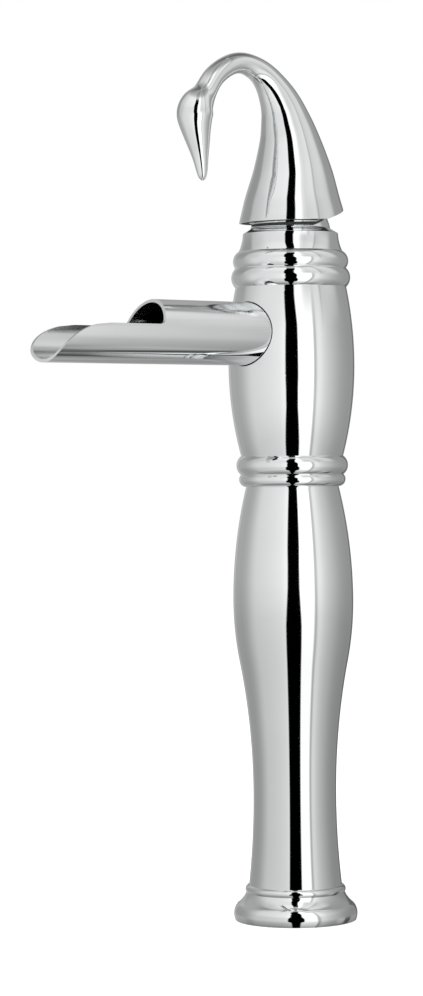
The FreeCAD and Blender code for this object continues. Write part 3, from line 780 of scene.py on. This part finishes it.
def screw_plug():
    # Low button on the skin behind the set screw.
    lengths = station_lengths(swan_stations)
    at = np.linspace(0, lengths[PLUG_STATION], PLUG_SAMPLES)
    x, y, z = swan_surface(lengths, at, 0.0)
    spot = int(np.argmin(np.abs(z - z_screw)))
    along = Vector((0, y[spot + 1] - y[spot - 1], z[spot + 1] - z[spot - 1])).normalized()
    outward = Vector((1, 0, 0)).cross(along) * -1
    middle = Vector((0, y[spot], z[spot]))
    steps = circle(DISC_STEPS)
    rings = []
    for i in range(PLUG_RINGS + 1):
        turn = i / PLUG_RINGS * math.pi / 2
        radius = plug_radius * math.sin(turn)
        lift = plug_crown * math.cos(turn) - plug_sink * (radius / plug_radius) ** 2
        ring = []
        for c, s in steps:
            spoke = Vector((c, 0, 0)) + along * s
            ring.append((middle + spoke * max(radius, POINT_RADIUS) + outward * lift) * MM)
        rings.append(ring)
    mesh = grid_mesh("screw_plug_cap", rings)
    return finish_mesh("screw_plug_cap", mesh, "lever", ["screw_plug"], 0.0)


# Materials

def new_material(name):
    material = bpy.data.materials.new(name)
    material.use_nodes = True
    tree = material.node_tree
    return material, tree, tree.nodes["Principled BSDF"]


def number(tree, operation, first, second):
    # One arithmetic node; each input is a socket or a plain number.
    node = tree.nodes.new("ShaderNodeMath")
    node.operation = operation
    for socket, value in zip(node.inputs, (first, second)):
        if isinstance(value, bpy.types.NodeSocket):
            tree.links.new(value, socket)
        else:
            socket.default_value = value
    return node.outputs["Value"]


def noise(tree, scale):
    place = tree.nodes.new("ShaderNodeTexCoord")
    node = tree.nodes.new("ShaderNodeTexNoise")
    node.inputs["Scale"].default_value = scale
    node.inputs["Detail"].default_value = GRAIN_DETAIL
    tree.links.new(place.outputs["Object"], node.inputs["Vector"])
    return node.outputs["Fac"]


def ramp(tree, source, stops):
    node = tree.nodes.new("ShaderNodeValToRGB")
    elements = node.color_ramp.elements
    while len(elements) > 1:
        elements.remove(elements[-1])
    elements[0].position = stops[0][0]
    elements[0].color = (*stops[0][1], 1)
    for place, colour in stops[1:]:
        elements.new(place).color = (*colour, 1)
    tree.links.new(source, node.inputs["Fac"])
    return node.outputs["Color"]


def map_range(tree, source, low, high):
    node = tree.nodes.new("ShaderNodeMapRange")
    node.inputs["To Min"].default_value = low
    node.inputs["To Max"].default_value = high
    tree.links.new(source, node.inputs["Value"])
    return node.outputs["Result"]


def bump(tree, shader, source, strength, distance):
    node = tree.nodes.new("ShaderNodeBump")
    node.inputs["Strength"].default_value = strength
    node.inputs["Distance"].default_value = distance
    tree.links.new(source, node.inputs["Height"])
    tree.links.new(node.outputs["Normal"], shader.inputs["Normal"])


def two_tone(name, dark, light, scale, rough, metallic=0.0, depth=0.0):
    # Grain between two close shades and two roughnesses.
    material, tree, shader = new_material(name)
    grain = noise(tree, scale)
    shades = ramp(tree, grain, list(zip(GRAIN_STOPS, (dark, light))))
    tree.links.new(shades, shader.inputs["Base Color"])
    tree.links.new(map_range(tree, grain, *rough), shader.inputs["Roughness"])
    shader.inputs["Metallic"].default_value = metallic
    if depth:
        bump(tree, shader, grain, GRAIN_STRENGTH, depth)
    return material


def chrome():
    # Polished plating, with a satin finish where the spout's mesh asks for it.
    dark, light = (0.878, 0.893, 0.896), (0.908, 0.923, 0.926)
    material = two_tone("polished_chrome", dark, light, scale=40, rough=(0.025, 0.06), metallic=1.0)
    tree = material.node_tree
    shader = tree.nodes["Principled BSDF"]
    polish = shader.inputs["Roughness"].links[0].from_socket
    satin = tree.nodes.new("ShaderNodeAttribute")
    satin.attribute_name = "satin"
    place = tree.nodes.new("ShaderNodeTexCoord")
    stretch = tree.nodes.new("ShaderNodeMapping")
    stretch.inputs["Scale"].default_value = SATIN_STRETCH
    streaks = tree.nodes.new("ShaderNodeTexNoise")
    streaks.inputs["Scale"].default_value = SATIN_SCALE
    tree.links.new(place.outputs["Object"], stretch.inputs["Vector"])
    tree.links.new(stretch.outputs["Vector"], streaks.inputs["Vector"])
    rough = number(tree, "MULTIPLY", satin.outputs["Fac"], SATIN_ROUGHNESS)
    tree.links.new(number(tree, "ADD", polish, rough), shader.inputs["Roughness"])
    drawn = number(tree, "MULTIPLY", streaks.outputs["Fac"], satin.outputs["Fac"])
    bump(tree, shader, drawn, SATIN_STRENGTH, SATIN_DEPTH)
    return material


def brass():
    dark, light = (0.62, 0.46, 0.2), (0.76, 0.6, 0.3)
    return two_tone("raw_brass", dark, light, scale=260, rough=(0.25, 0.42), metallic=1.0, depth=COARSE_GRAIN)


def rubber():
    # Also worn by the dark ring under the skirt, which is painted shade
    dark, light = (0.02, 0.02, 0.021), (0.045, 0.045, 0.047)
    return two_tone("seal_rubber", dark, light, scale=500, rough=(0.55, 0.75), depth=COARSE_GRAIN)


def pale_plastic():
    dark, light = (0.76, 0.77, 0.76), (0.85, 0.86, 0.85)
    return two_tone("cartridge_plastic", dark, light, scale=300, rough=(0.35, 0.5), depth=FINE_GRAIN)


def ceramic():
    dark, light = (0.9, 0.89, 0.86), (0.95, 0.94, 0.91)
    return two_tone("disc_ceramic", dark, light, scale=400, rough=(0.15, 0.25))


def steel():
    dark, light = (0.5, 0.5, 0.51), (0.68, 0.68, 0.69)
    return two_tone("screw_steel", dark, light, scale=350, rough=(0.22, 0.4), metallic=1.0, depth=FINE_GRAIN)


def dark_plastic():
    dark, light = (0.15, 0.15, 0.16), (0.23, 0.23, 0.24)
    return two_tone("bush_plastic", dark, light, scale=300, rough=(0.4, 0.55), depth=FINE_GRAIN)


def make_materials():
    return {
        "polished_chrome": chrome(),
        "raw_brass": brass(),
        "seal_rubber": rubber(),
        "cartridge_plastic": pale_plastic(),
        "disc_ceramic": ceramic(),
        "screw_steel": steel(),
        "bush_plastic": dark_plastic(),
    }


def dress(materials, chrome_pieces, painted_shade_ring):
    # Materials for the CAD's nodes by their slots, and for the pieces made here.
    for entry in frame["record"]["subparts"]:
        mesh = nodes[entry["node"]].data
        mesh.materials.clear()
        mesh.materials.append(materials[entry["material_slot"]])
    for piece in chrome_pieces:
        piece.data.materials.append(materials["polished_chrome"])
    # The dark ring under the skirt wears rubber as painted shade of the gap there
    painted_shade_ring.data.materials.append(materials["seal_rubber"])


# Stage

def stage_only_reflected(piece):
    # Stage that nothing but mirror images shows.
    piece.visible_camera = False
    piece.visible_diffuse = False
    piece.visible_shadow = False
    piece.visible_transmission = False


def level_ramp(tree, height, stops):
    # Ramp by height in the tent.
    return ramp(tree, height, [(0.5 + s / 2, (v, v, v)) for s, v in stops])


def turn_ramp(tree, turn, stops):
    # Ramp by degrees round the tent.
    return ramp(tree, turn, [(0.5 + a / 360, (v, v, v)) for a, v in stops])


def wall_colour(tree, turn, height):
    # Lower walls that give way to the upper ones.
    walls = tree.nodes.new("ShaderNodeMix")
    walls.data_type = "RGBA"
    tree.links.new(level_ramp(tree, height, UPPER_SHARES), walls.inputs["Factor"])
    for socket, table in (("A", TENT_WALLS), ("B", UPPER_WALLS)):
        target = [s for s in walls.inputs if s.name == socket and s.type == "RGBA"][0]
        tree.links.new(turn_ramp(tree, turn, table), target)
    return [s for s in walls.outputs if s.type == "RGBA"][0]


def slit_light(tree, turn, height):
    # 1 on the open walls, less in the slit.
    half_width = level_ramp(tree, height, [(s, w / 180) for s, w in SLIT_WIDTHS])
    middle = level_ramp(tree, height, [(s, 0.5 + a / 360) for s, a in SLIT_MIDDLES])
    off_middle = number(tree, "ABSOLUTE", number(tree, "SUBTRACT", turn, middle), 0.0)
    beyond = number(tree, "SUBTRACT", number(tree, "MULTIPLY", off_middle, 2.0), half_width)
    light = number(tree, "DIVIDE", beyond, SLIT_SOFTNESS / 180)
    light = number(tree, "MAXIMUM", light, level_ramp(tree, height, SLIT_FLOORS))
    return number(tree, "MINIMUM", light, 1.0)


def wall_light(tree, turn, height):
    # Level by height, changed low down and behind.
    lifted = number(tree, "SUBTRACT", number(tree, "MULTIPLY", turn_ramp(tree, turn, LIFTED_WALLS), 2.0), 1.0)
    lift = number(tree, "MULTIPLY", level_ramp(tree, height, LOW_LIFT), lifted)
    level = number(tree, "MULTIPLY", level_ramp(tree, height, LEVELS), number(tree, "ADD", lift, 1.0))
    rear = number(tree, "MULTIPLY", turn_ramp(tree, turn, REAR_WALLS), REAR_UNIT * LEVEL_UNIT)
    return number(tree, "MULTIPLY", level, rear)


def tent_material():
    # What the metal mirrors: pale walls with a dark slit at the camera, and a faint panel and slit behind.
    material = bpy.data.materials.new("light_tent")
    material.use_nodes = True
    tree = material.node_tree
    tree.nodes.clear()
    place = tree.nodes.new("ShaderNodeTexCoord")
    split = tree.nodes.new("ShaderNodeSeparateXYZ")
    tree.links.new(place.outputs["Object"], split.inputs["Vector"])
    azimuth = number(tree, "ARCTAN2", split.outputs["Y"], split.outputs["X"])
    turn = number(tree, "ADD", number(tree, "DIVIDE", azimuth, math.tau), 0.5)
    height = number(tree, "ADD", number(tree, "DIVIDE", split.outputs["Z"], 2 * TENT_RADIUS), 0.5)
    strength = number(tree, "MULTIPLY", slit_light(tree, turn, height), wall_light(tree, turn, height))
    glow = tree.nodes.new("ShaderNodeEmission")
    tree.links.new(wall_colour(tree, turn, height), glow.inputs["Color"])
    tree.links.new(strength, glow.inputs["Strength"])
    out = tree.nodes.new("ShaderNodeOutputMaterial")
    tree.links.new(glow.outputs["Emission"], out.inputs["Surface"])
    return material


def light_tent():
    steps = circle(TENT_STEPS)
    rings = []
    for i in range(TENT_RINGS):
        tilt = math.radians(-TENT_POLE + 2 * TENT_POLE * i / (TENT_RINGS - 1))
        radius, z = TENT_RADIUS * math.cos(tilt), TENT_RADIUS * math.sin(tilt)
        rings.append([(radius * c, radius * s, z) for c, s in steps])
    mesh = grid_mesh("light_tent", rings)
    tent = placed("light_tent", mesh)
    tent.location.z = TENT_MIDDLE
    tent.rotation_euler.z = CAMERA_AZIMUTH - math.pi / 2
    mesh.materials.append(tent_material())
    stage_only_reflected(tent)


def floor_material():
    # Pale floor that is white to the camera and keeps the shadow.
    material, tree, shader = new_material("pale_floor")
    shader.inputs["Base Color"].default_value = (FLOOR_GREY, FLOOR_GREY, FLOOR_GREY, 1)
    shader.inputs["Roughness"].default_value = FLOOR_ROUGHNESS
    shader.inputs["Specular IOR Level"].default_value = 0.0
    glow = tree.nodes.new("ShaderNodeEmission")
    rays = tree.nodes.new("ShaderNodeLightPath")
    seen = number(tree, "MAXIMUM", rays.outputs["Is Camera Ray"], rays.outputs["Is Transmission Ray"])
    tree.links.new(map_range(tree, seen, 0.0, FLOOR_GLOW), glow.inputs["Strength"])
    both = tree.nodes.new("ShaderNodeAddShader")
    tree.links.new(shader.outputs["BSDF"], both.inputs[0])
    tree.links.new(glow.outputs["Emission"], both.inputs[1])
    tree.links.new(both.outputs["Shader"], tree.nodes["Material Output"].inputs["Surface"])
    return material


def floor():
    # The tent's lower walls stand for the floor in mirror images, so those don't show the sheet itself.
    half = FLOOR_SIZE / 2
    corners = [(x * half, y * half, FLOOR_HEIGHT) for x, y in ((-1, -1), (1, -1), (1, 1), (-1, 1))]
    mesh = bpy.data.meshes.new("floor")
    mesh.from_pydata(corners, [], [(0, 1, 2, 3)])
    sheet = placed("floor", mesh)
    mesh.materials.append(floor_material())
    sheet.visible_glossy = False


def world():
    # White to the camera and in mirror images, dimmer as a light.
    made = bpy.data.worlds.new("white_room")
    made.use_nodes = True
    tree = made.node_tree
    back = tree.nodes["Background"]
    back.inputs["Color"].default_value = (1, 1, 1, 1)
    rays = tree.nodes.new("ShaderNodeLightPath")
    seen = number(tree, "MAXIMUM", rays.outputs["Is Camera Ray"], rays.outputs["Is Glossy Ray"])
    seen = number(tree, "MAXIMUM", seen, rays.outputs["Is Transmission Ray"])
    tree.links.new(map_range(tree, seen, ROOM_LIGHT, 1.0), back.inputs["Strength"])
    bpy.context.scene.world = made


def key_light():
    data = bpy.data.lights.new("soft_key", "AREA")
    data.shape = "DISK"
    data.size = KEY_SIZE
    data.energy = KEY_ENERGY
    lamp = placed("soft_key", data)
    lamp.location = KEY_PLACE
    lamp.rotation_euler = (Vector(KEY_TARGET) - lamp.location).to_track_quat("-Z", "Y").to_euler()
    lamp.visible_glossy = False


def camera():
    # Level eye in front of the column, then pitched and rolled as the photograph is.
    toward = Vector((math.sin(CAMERA_AZIMUTH), -math.cos(CAMERA_AZIMUTH), 0))
    right = Vector((math.cos(CAMERA_AZIMUTH), math.sin(CAMERA_AZIMUTH), 0))
    focal = CAMERA_DISTANCE / MM_PER_PIXEL
    eye_height = (DECK_ROW - EYE_ROW) * MM_PER_PIXEL
    side = (AXIS_COLUMN - IMAGE_WIDTH / 2) * MM_PER_PIXEL
    data = bpy.data.cameras.new("camera")
    data.sensor_width = SENSOR_LENGTH
    data.lens = focal / IMAGE_HEIGHT * SENSOR_LENGTH
    eye = placed("camera", data)
    eye.location = (toward * CAMERA_DISTANCE - right * side) * MM + Vector((0, 0, eye_height * MM))
    pitch = math.atan((IMAGE_HEIGHT / 2 - EYE_ROW) / focal)
    level = (-toward).to_track_quat("-Z", "Y").to_matrix()
    turn = level @ Matrix.Rotation(-pitch, 3, "X") @ Matrix.Rotation(-CAMERA_ROLL, 3, "Z")
    eye.rotation_euler = turn.to_euler()
    bpy.context.scene.camera = eye


def main():
    swan, skirt_rim_row = swan_handle()
    # The swan's hollow also gives the dark ring under the skirt, which is painted shade
    painted_shade_ring, hollow = swan_hollow(skirt_rim_row)
    chrome_pieces = [
        base_flange(), lower_column(), upper_body(), outlet_wall(), spout_tube(), bonnet(), swan, hollow,
        screw_plug(),
    ]
    dress(make_materials(), chrome_pieces, painted_shade_ring)
    light_tent()
    floor()
    world()
    key_light()
    camera()
    bpy.context.scene.view_settings.view_transform = "Standard"


main()
